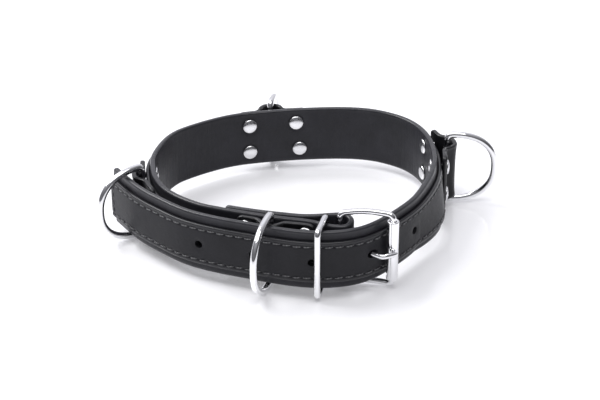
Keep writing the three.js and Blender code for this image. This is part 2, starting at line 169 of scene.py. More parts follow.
# ---- Curves ----
def evenly(line, step):
    """The same line with points a fixed step apart."""
    length = np.concatenate([[0], np.cumsum(np.linalg.norm(np.diff(line, axis=0), axis=1))])
    marks = np.linspace(0, length[-1], max(2, int(round(length[-1] / step)) + 1))
    return np.stack([np.interp(marks, length, line[:, k]) for k in range(line.shape[1])], 1)


def catmull_rom(points, samples=60):
    """A uniform Catmull-Rom curve through the points, as a fine line."""
    p = np.array(points, float)
    last = len(p) - 1
    t = np.linspace(0, last, last * samples + 1)
    i = np.minimum(t.astype(int), last - 1)
    w = (t - i)[:, None]
    before, here = p[np.maximum(i - 1, 0)], p[i]
    after, beyond = p[i + 1], p[np.minimum(i + 2, last)]
    v0, v1 = (after - before) / 2, (beyond - here) / 2
    cubic = 2 * here - 2 * after + v0 + v1
    square = -3 * here + 3 * after - 2 * v0 - v1
    return cubic * w**3 + square * w**2 + v0 * w + here


def smoothed(line, sigma, step):
    """Rounds a line's small kinks; its ends stay where they are."""
    reach = int(4 * sigma / step)
    kernel = np.exp(-0.5 * (np.arange(-reach, reach + 1) * step / sigma) ** 2)
    kernel /= kernel.sum()
    padded = np.concatenate([
        2 * line[0] - line[reach:0:-1], line, 2 * line[-1] - line[-2:-reach - 2:-1],
    ])
    return np.stack([np.convolve(padded[:, k], kernel, "valid") for k in range(line.shape[1])], 1)


class Route:
    """The base strap's centre line from above, in the row frame."""

    STEP = 0.25

    def __init__(self):
        turn = np.linspace(math.pi / 2, -math.pi / 2, 60)[1:-1]
        fold = FOLD_CENTRE + FOLD_RADIUS * np.stack([np.cos(turn), np.sin(turn)], 1)
        flap = catmull_rom(FLAP_ROUTE)
        line = np.concatenate([flap, fold, catmull_rom(BAND_ROUTE)])
        self.points = smoothed(evenly(line, self.STEP), 1.1, self.STEP) - PLAN_CENTRE
        steps = np.linalg.norm(np.diff(self.points, axis=0), axis=1)
        self.s = np.concatenate([[0], np.cumsum(steps)])
        self.length = self.s[-1]
        along = np.gradient(self.points, self.s, axis=0)
        self.along = along / np.linalg.norm(along, axis=1, keepdims=True)
        self.fold_start = np.linalg.norm(np.diff(flap, axis=0), axis=1).sum()
        self.fold_end = self.fold_start + math.pi * FOLD_RADIUS
        self.tail_start = self.length - TAIL_REACH

    def at(self, s):
        """Centre, direction and outward side at distances s; straight on past the ends."""
        s = np.asarray(s, float)
        inside = np.clip(s, 0, self.length)
        centre = np.stack([np.interp(inside, self.s, self.points[:, k]) for k in (0, 1)], -1)
        along = np.stack([np.interp(inside, self.s, self.along[:, k]) for k in (0, 1)], -1)
        along /= np.linalg.norm(along, axis=-1, keepdims=True)
        centre = centre + along * (s - inside)[..., None]
        return centre, along, np.stack([-along[..., 1], along[..., 0]], -1)

    def nearest(self, place, low=0.0, high=None):
        """Distance along the route of the point nearest a place in the row frame."""
        high = self.length if high is None else high
        gap = np.linalg.norm(self.points - np.asarray(place)[:2], axis=1)
        gap[(self.s < low) | (self.s > high)] = np.inf
        return self.s[gap.argmin()]

    def offset(self, s, out):
        """The place that lies out from the centre line at distance s."""
        centre, _, side = self.at(s)
        return centre + side * out


def plan(point):
    """A place on the plan, in the row frame."""
    return np.array(point, float) - PLAN_CENTRE


route = Route()
LEAN_RANGE = [route.nearest(plan(p), route.fold_end, route.tail_start) for p in LEAN_NEAR]
USED_HOLE = route.nearest(plan(USED_HOLE_NEAR), route.tail_start)
OVERLAY_START = route.nearest(plan(OVERLAY_START_NEAR), route.fold_end)
OVERLAY_END = route.length - OVERLAY_SHORT


def smoothstep(x, low, high):
    """0 up to low and 1 from high, smooth between them."""
    t = np.clip((x - low) / (high - low), 0, 1)
    return t * t * (3 - 2 * t)


def bump_at(distance, width):
    """1 at no distance, about a third at the width and soon 0 beyond it."""
    return np.exp(-(distance / width) ** 4)


# ---- How the soft band leaves its ideal shape ----
def lean_at(s):
    """How far the band leans out over its whole height."""
    t = np.clip((s - LEAN_RANGE[0]) / (LEAN_RANGE[1] - LEAN_RANGE[0]), 0, 1)
    return LEAN * np.sin(math.pi * t**LEAN_SHAPE) * smoothstep(t, 0, 0.12)


def lift_at(s):
    """The strap's rise: it sways a little, and its turned-back end rides high beside the fold."""
    flap = smoothstep(s, route.fold_start - 22, route.fold_start - 4)
    back = 1 - smoothstep(s, route.fold_start, route.fold_end)
    sway = SWAY * np.sin(s / 23.0) * np.sin(s / 61.0 + 1.3)
    return FOLD_LIFT * flap * back + sway


def place(s, out, z):
    """Row-frame points, in millimetres, of places along, out from and up the strap."""
    s, out, z = np.broadcast_arrays(np.asarray(s, float), out, z)
    centre, _, side = route.at(s)
    drop = (MID_Z + LEAN_HINGE - z) / (2 * BAND_HALF)
    out = out + lean_at(s) * drop
    xy = centre + side * out[..., None]
    return np.concatenate([xy, (z + lift_at(s))[..., None]], -1)


# ---- Meshes ----
def finish_mesh(mesh, angle=None):
    """Shades a mesh smooth, but for edges sharper than the angle in degrees."""
    for polygon in mesh.polygons:
        polygon.use_smooth = True
    if angle is not None:
        mesh.set_sharp_from_angle(angle=math.radians(angle))


def new_piece(name, points, faces, mat, body, node, slot, sharp=None, **values):
    """A mesh from millimetre points, riding on a body, in place of a CAD node if one is named."""
    mesh = bpy.data.meshes.new(name)
    mesh.from_pydata((points * MM).tolist(), [], faces)
    for key, value in values.items():
        vector = value.ndim == 2
        kind = "FLOAT_VECTOR" if vector else "FLOAT"
        attribute = mesh.attributes.new(key, kind, "POINT")
        attribute.data.foreach_set("vector" if vector else "value", value.astype(np.float32).ravel())
    mesh.materials.append(mat)
    finish_mesh(mesh, sharp)
    piece = bpy.data.objects.new(name, mesh)
    bpy.context.scene.collection.objects.link(piece)
    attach(piece, body)
    if node:
        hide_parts(node)
    return piece


def loop_faces(rows, sides, closed=False):
    """Quads between rows of points, each a ring of so many sides, and a cap at either end."""
    faces = []
    last = rows if closed else rows - 1
    for i in range(last):
        here, there = i * sides, (i + 1) % rows * sides
        for j in range(sides):
            k = (j + 1) % sides
            faces.append((here + j, there + j, there + k, here + k))
    if not closed:
        faces.append(tuple(range(sides)))
        faces.append(tuple((rows - 1) * sides + j for j in reversed(range(sides))))
    return faces


def joined(parts):
    """One list of points and one of faces from several (points, faces)."""
    points, faces, start = [], [], 0
    for part_points, part_faces in parts:
        points.append(part_points)
        faces += [tuple(start + i for i in face) for face in part_faces]
        start += len(part_points)
    return np.concatenate(points), faces


def face_out(mesh):
    """Turns every face of a closed mesh outward."""
    shape = bmesh.new()
    shape.from_mesh(mesh)
    bmesh.ops.recalc_face_normals(shape, faces=shape.faces)
    shape.to_mesh(mesh)
    shape.free()


# ---- Strips of leather ----
def end_stops(corner):
    """Distances from a strip's end where its outline and edge curve."""
    return [d for d in (0.0, 0.12, 0.35, 0.7, 1.2, 1.9, 2.8) if d < corner] + [corner]


def strip_stops(low, high, step, corner, fine=()):
    """Stations along a strip: at both ends' curves, every step, and closer in the fine spans."""
    ends = end_stops(corner)
    stops = [low + d for d in ends] + [high - d for d in ends]
    middle = np.arange(low + corner + step, high - corner - step / 2, step)
    stops += list(middle)
    for a, b, close in fine:
        stops += list(np.arange(max(a, low + corner), min(b, high - corner), close))
    stops = sorted(stops)
    kept = [stops[0]]
    for stop in stops[1:]:
        if stop - kept[-1] > 0.1:
            kept.append(stop)
    kept[-1] = stops[-1]
    return np.array(kept)


def strip_section(stops, half, half_height, rows, edge, corner):
    """Rounded sections along a strip: offsets across and up, and each one's distance to an end."""
    from_end = np.minimum(stops - stops[0], stops[-1] - stops)
    cut = np.clip(corner - from_end, 0, corner)
    tall = half_height - corner + np.sqrt(np.maximum(corner**2 - cut**2, 0))
    near = np.clip(1 - from_end / edge, 0, 1)
    thick = half * np.maximum(np.sqrt(1 - near**2), 0.3)
    radius = np.minimum(edge, thick * 0.98)
    quarter = np.linspace(0, math.pi / 2, 7)[1:]
    sections = []
    for a, b, r in zip(thick, tall, radius):
        flat = rows * (b - r)
        top_out = [(a - r + r * math.cos(t), b - r + r * math.sin(t)) for t in quarter]
        top_in = [(-x, y) for x, y in reversed(top_out)]
        loop = [(a, z) for z in flat] + top_out + top_in + [(-a, z) for z in flat[::-1]]
        loop += [(-x, -y) for x, y in top_out] + [(x, -y) for x, y in reversed(top_out)]
        sections.append(loop)
    section = np.array(sections)
    return section[..., 0], section[..., 1], from_end


def leather_strip(name, section, along, out, mat, node, half, half_height):
    """A strip on edge with rounded edges and corners, from its places along and out."""
    across, height, from_end = section
    m, k = across.shape
    points = place(along, out, MID_Z + height)
    strip = np.stack([along, height, out], -1).reshape(-1, 3) * MM
    rim = smoothstep(np.abs(height), half_height - RIM_HEIGHT, half_height).ravel()
    rim = np.maximum(rim, smoothstep(np.repeat(-from_end[:, None], k, 1), -2.0, 0).ravel())
    piece = new_piece(
        name, points.reshape(-1, 3), loop_faces(m, k), mat, "strap", node, "leather",
        strip=strip, rim=rim, inside=(across < 0).astype(float).ravel(),
    )
    face_out(piece.data)
    return piece


def cutter(name, parts):
    """One mesh of closed parts that don't overlap, each (points, faces), to be cut from a piece."""
    points, faces = joined(parts)
    mesh = bpy.data.meshes.new(name)
    mesh.from_pydata((points * MM).tolist(), [], faces)
    face_out(mesh)
    tool = bpy.data.objects.new(name, mesh)
    bpy.context.scene.collection.objects.link(tool)
    return tool


def punch(s):
    """A bar through the strap at distance s, round, and wider where it leaves the outer face."""
    sides = 28
    turn = np.linspace(0, 2 * math.pi, sides, endpoint=False)
    rings = [
        place(s + radius * np.cos(turn), np.full(sides, out), MID_Z + radius * np.sin(turn))
        for radius, out in (
            (HOLE_RADIUS, PUNCH_SPAN[0]), (HOLE_RADIUS, BAND_FACE - HOLE_FLARE),
            (HOLE_RADIUS + HOLE_FLARE, BAND_FACE), (HOLE_RADIUS + HOLE_FLARE, PUNCH_SPAN[1]),
        )
    ]
    return np.concatenate(rings), loop_faces(4, sides)


def used_hole():
    """The hole in use, pulled long by the prong that runs through it at a slant."""
    centre = plan(USED_HOLE_MIDDLE)
    turn = np.linspace(0, 2 * math.pi, 24, endpoint=False)
    c, s = math.cos(USED_HOLE_SLANT), math.sin(USED_HOLE_SLANT)
    v, w = USED_HOLE_SIZE[0] * np.cos(turn), USED_HOLE_SIZE[1] * np.sin(turn)
    rings = []
    for u in (-7.5, 7.5):
        rings.append(np.stack([
            centre[0] + u * c - v * s, centre[1] + u * s + v * c, BUCKLE_Z + w,
        ], 1))
    return np.concatenate(rings), loop_faces(2, 24)


def box_at(x, y, size):
    """A level box round a place, at the buckle's middle height."""
    signs = [(sx, sy, sz) for sx in (-1, 1) for sy in (-1, 1) for sz in (-1, 1)]
    corners = [
        (x + sx * size[0] / 2, y + sy * size[1] / 2, BUCKLE_Z + sz * size[2] / 2)
        for sx, sy, sz in signs
    ]
    faces = [(0, 1, 3, 2), (4, 6, 7, 5), (0, 4, 5, 1), (2, 3, 7, 6), (0, 2, 6, 4), (1, 5, 7, 3)]
    return np.array(corners), faces


def cut(piece, tool):
    """Takes the tool's shape out of a piece and removes the tool."""
    modifier = piece.modifiers.new("cut", "BOOLEAN")
    modifier.operation = "DIFFERENCE"
    modifier.solver = "EXACT"
    modifier.object = tool
    bpy.context.view_layer.update()
    result = bpy.data.meshes.new_from_object(
        piece.evaluated_get(bpy.context.evaluated_depsgraph_get()), preserve_all_data_layers=True,
        depsgraph=bpy.context.evaluated_depsgraph_get(),
    )
    piece.modifiers.clear()
    piece.data = result
    finish_mesh(piece.data, SHARP_ANGLE)
    bpy.data.objects.remove(tool)


# ---- Wire ----
def wire_points(path, radius, sides, closed):
    """Rings of points round a path; radius is a number or one per path point."""
    path = np.asarray(path, float)
    ahead = np.roll(path, -1, 0) if closed else np.concatenate([path[1:], path[-1:]])
    behind = np.roll(path, 1, 0) if closed else np.concatenate([path[:1], path[:-1]])
    tangent = ahead - behind
    tangent /= np.linalg.norm(tangent, axis=1, keepdims=True)
    normal = np.cross(tangent[0], [0.31, 0.2, 0.93])
    normals = []
    for t in tangent:
        normal = normal - t * normal.dot(t)
        normal = normal / np.linalg.norm(normal)
        normals.append(normal)
    normals = np.array(normals)
    sideways = np.cross(tangent, normals)
    if closed:
        first = np.cross(tangent[0], normals[0])
        end = normals[-1] - tangent[0] * normals[-1].dot(tangent[0])
        twist = math.atan2(end.dot(first), end.dot(normals[0]))
        turn = -twist * np.arange(len(path)) / len(path)
        c, s = np.cos(turn)[:, None], np.sin(turn)[:, None]
        normals, sideways = normals * c + sideways * s, sideways * c - normals * s
    angle = np.linspace(0, 2 * math.pi, sides, endpoint=False)
    radius = np.broadcast_to(np.asarray(radius, float), (len(path),))
    ring = normals[:, None] * np.cos(angle)[None, :, None]
    ring = ring + sideways[:, None] * np.sin(angle)[None, :, None]
    return path[:, None] + ring * radius[:, None, None]


def wire_piece(name, path, radius, body, node, closed=True, sides=24):
    """A chrome wire along a path."""
    rings = wire_points(path, radius, sides, closed)
    faces = loop_faces(len(path), sides, closed)
    piece = new_piece(name, rings.reshape(-1, 3), faces, CHROME, body, node, "chrome")
    face_out(piece.data)


def quarter_arc(u, w, radius, low, high):
    """Points of an arc round (u, w), from one angle to another in degrees."""
    angle = np.radians(np.linspace(low, high, 10))
    return np.stack([u + radius * np.cos(angle), w + radius * np.sin(angle)], 1)


def both_halves(upper):
    """A closed (u, w) outline from its upper half, which runs from w = 0 to w = 0."""
    lower = upper[::-1][1:-1] * [1, -1]
    return np.concatenate([upper, lower])


def ring_outline(height):
    """A D-ring's wire: a straight bar at u = 0, small corners and a full bow."""
    top, depth = (height - RING_WIRE) / 2, RING_DEPTH * height / RING_HEIGHT["front"]
    angle = np.radians(np.linspace(90, 0, 40))
    power = 2 / RING_FULLNESS
    bow = np.stack([
        RING_CORNER + (depth - RING_CORNER) * np.cos(angle).clip(0) ** power,
        top * np.sin(angle) ** power,
    ], 1)
    corner = quarter_arc(RING_CORNER, top - RING_CORNER, RING_CORNER, 180, 90)
    upper = np.concatenate([[[0, 0]], corner, bow[1:]])
    return closed_evenly(both_halves(upper), 0.8)


def rectangle_outline(width, height, corner):
    """A rectangle of wire with rounded corners, from u = 0 to its width."""
    upper = np.concatenate([
        [[0, 0]],
        quarter_arc(corner, height / 2 - corner, corner, 180, 90),
        quarter_arc(width - corner, height / 2 - corner, corner, 90, 0),
        [[width, 0]],
    ])
    return closed_evenly(both_halves(upper), 0.6)


def closed_evenly(outline, step):
    """A closed outline with points a fixed step apart."""
    return evenly(np.concatenate([outline, outline[:1]]), step)[:-1]


def upright(outline, corner, degrees, aside=0.0, middle=MID_Z):
    """(u, w) points as row-frame points: u runs level from the corner, w is height."""
    u, w = outline[:, 0], outline[:, 1]
    c, s = math.cos(math.radians(degrees)), math.sin(math.radians(degrees))
    return np.stack([corner[0] + u * c - aside * s, corner[1] + u * s + aside * c, middle + w], 1)


# ---- Materials ----
class Nodes:
    """Short calls for building one material."""

    def __init__(self, name):
        self.mat = bpy.data.materials.new(name)
        self.mat.use_nodes = True
        self.tree = self.mat.node_tree
        self.shader = self.tree.nodes["Principled BSDF"]

    def node(self, kind, inputs=None, **settings):
        made = self.tree.nodes.new(kind)
        for key, value in settings.items():
            setattr(made, key, value)
        for key, value in (inputs or {}).items():
            self.set(made.inputs[key], value)
        return made

    def set(self, socket, value):
        if isinstance(value, bpy.types.NodeSocket):
            self.tree.links.new(value, socket)
        else:
            socket.default_value = value

    def math(self, operation, a, b):
        return self.node("ShaderNodeMath", {0: a, 1: b}, operation=operation).outputs[0]

    def attribute(self, name, output="Fac"):
        return self.node("ShaderNodeAttribute", attribute_name=name).outputs[output]

    def position(self):
        return self.node("ShaderNodeTexCoord").outputs["Object"]

    def stretched(self, vector, scale):
        made = self.node("ShaderNodeVectorMath", {0: vector, 1: scale}, operation="MULTIPLY")
        return made.outputs[0]

    def noise(self, vector, scale, detail, roughness):
        made = self.node("ShaderNodeTexNoise", {
            "Vector": vector, "Scale": scale, "Detail": detail, "Roughness": roughness,
        })
        return made.outputs["Fac"]

    def cells(self, vector, scale):
        return self.node("ShaderNodeTexVoronoi", {"Vector": vector, "Scale": scale}).outputs["Distance"]

    def ramp(self, value, low, high, to_low, to_high):
        made = self.node("ShaderNodeMapRange", {
            "Value": value, "From Min": low, "From Max": high, "To Min": to_low, "To Max": to_high,
        })
        return made.outputs[0]

    def mix(self, factor, a, b):
        made = self.node("ShaderNodeMix", data_type="RGBA")
        for socket, value in zip((made.inputs[0], made.inputs[6], made.inputs[7]), (factor, a, b)):
            self.set(socket, value)
        return made.outputs[2]

    def bump(self, height, distance, strength=1.0, normal=None):
        made = self.node("ShaderNodeBump", {
            "Height": height, "Distance": distance, "Strength": strength,
        })
        if normal is not None:
            self.set(made.inputs["Normal"], normal)
        return made.outputs["Normal"]

    def finish(self, **inputs):
        """Fills the shader's sockets, with _ for each space in their names."""
        for key, value in inputs.items():
            self.set(self.shader.inputs[key.replace("_", " ")], value)
        return self.mat


def grey(value, blue):
    """A grey colour with its blue times a share."""
    return (value, value, value * blue, 1.0)


def leather_material(name, dark, light, shine, inner_creases):
    """Waxed leather: clouded, pebbled, polished on its edges and lighter there, partly worn and partly
    a painted highlight, and creased inside.
    """
    n = Nodes(name)
    at = n.position()
    cloud = n.noise(at, 55.0, 4.0, 0.6)
    fine = n.noise(at, 900.0, 3.0, 0.6)
    pebble = n.cells(at, 1150.0)
    rim = n.attribute("rim")
    # The rims get a lighter colour: partly wear, partly a painted highlight along the edges.
    wear_and_highlight = n.math("MULTIPLY", rim, n.ramp(n.noise(at, 160.0, 3.0, 0.7), 0.45, 0.75, 0.0, 1.0))
    body = n.mix(n.ramp(cloud, 0.3, 0.7, 0.0, 1.0), grey(dark, 1.2), grey(light, 1.2))
    colour = n.mix(n.math("MULTIPLY", wear_and_highlight, 0.35), body, grey(0.035, 1.04))
    gloss = n.ramp(n.math("ADD", cloud, fine), 0.7, 1.3, shine - 0.05, shine + 0.09)
    gloss = n.math("SUBTRACT", gloss, n.math("MULTIPLY", rim, 0.07))
    grain = n.math("ADD", n.math("MULTIPLY", pebble, 0.8), n.math("MULTIPLY", fine, 0.5))
    normal = n.bump(grain, 0.00009, 0.55)
    soft = n.noise(at, 130.0, 2.0, 0.5)
    normal = n.bump(soft, 0.0006, 0.35, normal)
    if inner_creases:
        strip = n.stretched(n.attribute("strip", "Vector"), (210.0, 26.0, 0.0))
        creases = n.math("MULTIPLY", n.noise(strip, 1.0, 4.0, 0.6), n.attribute("inside"))
        normal = n.bump(creases, 0.0009, 0.5, normal)
    n.shader.inputs["Specular IOR Level"].default_value = 0.2
    n.shader.inputs["Coat Roughness"].default_value = 0.24
    wax = n.math("MULTIPLY", rim, 0.55)
    return n.finish(Base_Color=colour, Roughness=gloss, Normal=normal, Coat_Weight=wax)


def thread_material():
    """Twisted thread, from the distances in its strip attribute."""
    n = Nodes("waxed_thread")
    strip = n.attribute("strip", "Vector")
    twist = n.node("ShaderNodeTexWave", {
        "Vector": n.stretched(strip, (1.0, 1.6, 0.0)), "Scale": 520.0, "Distortion": 0.6,
    }, bands_direction="DIAGONAL").outputs["Fac"]
    colour = n.mix(twist, grey(0.05, 1.05), grey(0.13, 1.05))
    return n.finish(Base_Color=colour, Roughness=0.36, Normal=n.bump(twist, 0.00012, 0.8))


def chrome_material(name, tone, rough_low, rough_high):
    """Bright metal with a slight haze, fine scratches and an uneven polish."""
    n = Nodes(name)
    at = n.position()
    haze = n.noise(at, 70.0, 4.0, 0.6)
    scratches = n.noise(n.stretched(at, (400.0, 400.0, 2600.0)), 1.0, 2.0, 0.5)
    uneven = n.math("ADD", haze, n.math("MULTIPLY", scratches, 0.3))
    rough = n.ramp(uneven, 0.4, 0.9, rough_low, rough_high)
    colour = n.mix(haze, (tone, tone, tone * 1.01, 1), (tone * 0.93, tone * 0.93, tone * 0.95, 1))
    normal = n.bump(n.noise(at, 240.0, 2.0, 0.5), 0.00006, 0.3)
    n.shader.inputs["Metallic"].default_value = 1.0
    return n.finish(Base_Color=colour, Roughness=rough, Normal=normal)


BASE_LEATHER = leather_material("base_strap_leather", 0.020, 0.034, 0.36, True)
OVERLAY_LEATHER = leather_material("overlay_leather", 0.013, 0.020, 0.42, False)
TAB_LEATHER = leather_material("tab_leather", 0.008, 0.013, 0.38, False)
THREAD = thread_material()
CHROME = chrome_material("bright_chrome", 0.88, 0.05, 0.12)
RIVET_METAL = chrome_material("nickel_rivet", 0.80, 0.20, 0.30)


# ---- Places of the joints, tabs, rivets and holes ----
JOINTS = {
    joint["name"]: np.array(joint.get("pos_m", (0, 0, 0)), float) / MM for joint in frame["joints"]
}
HEEL = JOINTS["buckle_swing"][:2]
ROLLER_BAR = JOINTS["roller_spin"][:2]


class Tab:
    """A leather tab that humps over the bar of a D-ring."""

    def __init__(self, side):
        self.side = side
        self.bar = JOINTS[f"{side}_ring_swing"][:2]
        self.s = route.nearest(self.bar, route.fold_end, route.tail_start)
        self.face = BASE_HALF if side == "front" else BAND_FACE
        self.rise = np.linalg.norm(self.bar - route.at(self.s)[0]) - self.face
        self.rivets = RIVET_PLACES[side]
        self.skew = RIVET_SKEW[side]
        self.spread = RIVET_Z[side]
        self.half_height = TAB_HEIGHT[side] / 2
        self.ends = (self.rivets[0] - TAB_MARGIN, self.rivets[1] + self.skew + TAB_MARGIN)

    def rivet_places(self):
        """(u, z) of each rivet, in the order of their names."""
        first, last = self.rivets
        up, down = self.spread, -self.spread
        return [(first, up), (first, down), (last, up), (last + self.skew, down)]

    def hump(self, u):
        """How far the tab's inner face stands off the leather below, at u along from the bar."""
        peak = self.rise + RING_WIRE / 2 + GAP
        width = np.where(np.asarray(u) < 0, TENT.get(self.side, TAB_HUMP), TAB_HUMP)
        return GAP + (peak - GAP) / (1 + (u / width) ** 4)


def flap_depth(s):
    """How far inside the band the turned-back end lies, and where along it."""
    here = route.at(s)[0]
    there = route.nearest(here, 0, route.fold_start)
    return np.linalg.norm(here - route.at(there)[0]), there


TABS = [Tab(side) for side in SWING]
BASE_DIMPLES = []  # (s, z) on the base strap's inner face
for tab in TABS:
    for u, z in tab.rivet_places():
        s = tab.s + u
        BASE_DIMPLES.append((flap_depth(s)[1] if tab.side == "front" else s, z))
HOLE_PLACES = [USED_HOLE + distance for distance in HOLES]


def dimples(s, z, places, width, depth):
    """Minus the depth at each (s, z) place, and nothing beyond about its width."""
    total = np.zeros_like(s)
    for at_s, at_z in places:
        near = np.abs(s - at_s) < 2.5 * width
        if near.any():
            total[near] -= depth * bump_at(np.hypot(s[near] - at_s, z[near] - at_z), width)
    return total


def hole_rims(s, z):
    """The leather that each hole's edge has drawn in."""
    return dimples(s, z, [(place_s, 0.0) for place_s in HOLE_PLACES], HOLE_RADIUS + 1.2, 0.3)


# ---- The base strap ----
def keeper_dent(s):
    """The keeper's inner wire has pressed the leather on both sides of it."""
    back = plan(KEEPER_BACK)
    spans = ((0, route.fold_start), (route.fold_end, route.tail_start))
    return KEEPER_DENT * sum(bump_at(np.abs(s - route.nearest(back, *span)), 4.0) for span in spans)


def build_base():
    """The base strap, in one length from its turned-back end to the tail's tip."""
    fine = [(s - 5, s + 5, 0.55) for s in HOLE_PLACES]
    fine += [(route.fold_start - 2, route.fold_end + 2, 0.5)]
    fine += [(s - 6, s + 6, 0.7) for s, _ in BASE_DIMPLES[::2]]
    stops = strip_stops(0, route.length, 1.3, STRAP_CORNER, fine)
    rows = np.linspace(-1, 1, 37)
    section = strip_section(stops, BASE_HALF, BAND_HALF, rows, BASE_EDGE, STRAP_CORNER)
    share, z = section[0] / BASE_HALF, section[1]
    s = np.repeat(stops[:, None], z.shape[1], 1)
    swell = 0.12 * np.cos(z / BAND_HALF * math.pi / 2) - 0.1
    hollow = dimples(s, z, BASE_DIMPLES, 5.0, 0.4) + hole_rims(s, z) - keeper_dent(s)
    out = section[0] + swell * np.clip(share, 0, 1) - hollow * np.clip(-share, 0, 1)
    piece = leather_strip(
        "base_strap_leather", section, s, out, BASE_LEATHER, "base_strap", BASE_HALF, BAND_HALF,
    )
    tools = [punch(s) for s in HOLE_PLACES]
    tools.append(box_at(HEEL[0] + FOLD_SLOT_SHIFT[0], HEEL[1] + FOLD_SLOT_SHIFT[1], FOLD_SLOT))
    cut(piece, cutter("base_holes", tools))
    cut(piece, cutter("base_used_hole", [used_hole()]))


# ---- The overlay strap and its stitching ----
OVERLAY_MIDDLE = BASE_HALF + GAP * 0.4 + OVERLAY_THICKNESS / 2


def overlay_face(s, z):
    """The outer face: padded in the middle, and pulled in along the stitching and round the holes."""
    rows = np.exp(-((np.abs(z) - STITCH_Z) / GROOVE_WIDTH) ** 2)
    phase = np.cos(2 * math.pi * (s - OVERLAY_START) / STITCH_PITCH)
    tip = np.exp(-((OVERLAY_END - TIP_INSET - s) / GROOVE_WIDTH) ** 2) * (np.abs(z) < STITCH_Z)
    pad = 0.14 * np.cos(np.clip(z / STITCH_Z, -1, 1) * math.pi / 2)
    return pad - np.maximum(rows * (GROOVE + 0.1 * phase), tip * GROOVE) + hole_rims(s, z)


def build_overlay():
    """The overlay strap, with rows of points close together at its two grooves."""
    groove = np.linspace(-1.5, 1.5, 11)
    heights = np.concatenate([
        [-10.6], -STITCH_Z + groove, np.linspace(-6.2, 6.2, 15), STITCH_Z + groove, [10.6],
    ])
    fine = [(s - 5, s + 5, 0.5) for s in HOLE_PLACES]
    stops = strip_stops(OVERLAY_START, OVERLAY_END, 0.9, STRAP_CORNER, fine)
    half = OVERLAY_THICKNESS / 2
    section = strip_section(
        stops, half, OVERLAY_HALF_HEIGHT, heights / heights[-1], OVERLAY_EDGE, STRAP_CORNER,
    )
    s = np.repeat(stops[:, None], section[1].shape[1], 1)
    out = OVERLAY_MIDDLE + section[0]
    out = out + overlay_face(s, section[1]) * np.clip(section[0] / half, 0, 1)
    piece = leather_strip(
        "overlay_strap_leather", section, s, out, OVERLAY_LEATHER, "overlay_strap", half,
        OVERLAY_HALF_HEIGHT,
    )
    cut(piece, cutter("overlay_holes", [punch(s) for s in HOLE_PLACES]))
    cut(piece, cutter("overlay_used_hole", [used_hole()]))


def stitch(s, z, ds, dz):
    """One stitch's thread: a short arch out of the leather and back."""
    t = np.linspace(-1, 1, 9)
    face = OVERLAY_MIDDLE + OVERLAY_THICKNESS / 2
    out = face - GROOVE + 0.42 * (1 - np.abs(t) ** 3.5) - 0.12
    path = place(s + ds * t / 2, out, MID_Z + z + dz * t / 2)
    rings = wire_points(path, THREAD_RADIUS * (1 - 0.25 * t**4), 8, False)
    strip = np.repeat(np.stack([s + ds * t / 2, z + dz * t / 2, out], 1), 8, axis=0)
    return rings.reshape(-1, 3), loop_faces(len(t), 8), strip


def clear_of_tabs(s):
    """Whether no tab hides the overlay strap at s; the front tab isn't on it."""
    return all(abs(s - tab.s) > TAB_CLEARANCE for tab in TABS if tab.side != "front")


def build_stitching():
    """Three pieces of thread: an upper and a lower row, and one across the tip."""
    rows = {"stitching_upper": [], "stitching_lower": [], "stitching_tip": []}
    count = int((OVERLAY_END - 3.2 - OVERLAY_START) / STITCH_PITCH)
    for i in range(count):
        s = OVERLAY_START + STITCH_PITCH * (i + 0.5)
        wobble = 0.12 * math.sin(i * 12.9898) * math.cos(i * 4.1414)
        if clear_of_tabs(s):
            rows["stitching_upper"].append(stitch(s, STITCH_Z + wobble, STITCH_LENGTH, -0.3))
            rows["stitching_lower"].append(stitch(s, -STITCH_Z + wobble, STITCH_LENGTH, -0.3))
    for z in np.arange(-1.5, 2) * (2 * STITCH_Z / 4.0):
        rows["stitching_tip"].append(stitch(OVERLAY_END - TIP_INSET, z, 0.2, 3.2))
    for name, stitches in rows.items():
        points, faces = joined([made[:2] for made in stitches])
        strip = np.concatenate([made[2] for made in stitches]) * MM
        piece = new_piece(name, points, faces, THREAD, "strap", None, "leather", strip=strip)
        face_out(piece.data)


# ---- Tabs and rivets ----
def tab_line(tab):
    """The tab's middle line by marks along it: u from the bar, then its (s, out) and its normal."""
    u = np.linspace(*tab.ends, 400)
    stand = tab.hump(u)
    slope = np.gradient(stand, u)
    normal = np.stack([-slope, np.ones_like(slope)]) / np.hypot(1, slope)
    marks = np.concatenate([[0], np.cumsum(np.hypot(np.diff(u), np.diff(stand)))])
    middle = np.stack([tab.s + u, tab.face + stand]) + normal * TAB_THICKNESS / 2
    return marks, u, middle, normal


def build_tab(tab):
    """A tab: a strip that follows its hump, dished at its rivets and curled at its edges."""
    line, u, middle, normal = tab_line(tab)
    half = TAB_THICKNESS / 2
    marks = strip_stops(0, line[-1], 0.55, TAB_CORNER)
    rows = np.linspace(-1, 1, 31)
    section = strip_section(marks, half, tab.half_height, rows, TAB_EDGE, TAB_CORNER)
    beside = smoothstep(np.abs(np.interp(marks, line, u)), 3.5, 8.0)[:, None]
    z = section[1] * (1 - WAIST.get(tab.side, 0.0) * beside)
    section = (section[0], z, section[2])
    mark = np.repeat(marks[:, None], z.shape[1], 1)
    rivets = [(np.interp(r, u, line), w) for r, w in tab.rivet_places()]
    across = section[0] + dimples(mark, z, rivets, 4.9, 0.35) * np.clip(section[0] / half, 0, 1)
    across = across + TAB_CURL * (1 - beside) * np.abs(z / tab.half_height) ** 4
    middle_s, middle_out = (np.interp(marks, line, row)[:, None] for row in middle)
    normal_s, normal_out = (np.interp(marks, line, row)[:, None] for row in normal)
    along = middle_s + normal_s * across
    out = middle_out + normal_out * across
    leather_strip(
        f"ring_tab_{tab.side}_leather", section, along, out, TAB_LEATHER, f"ring_tab_{tab.side}",
        half, tab.half_height,
    )


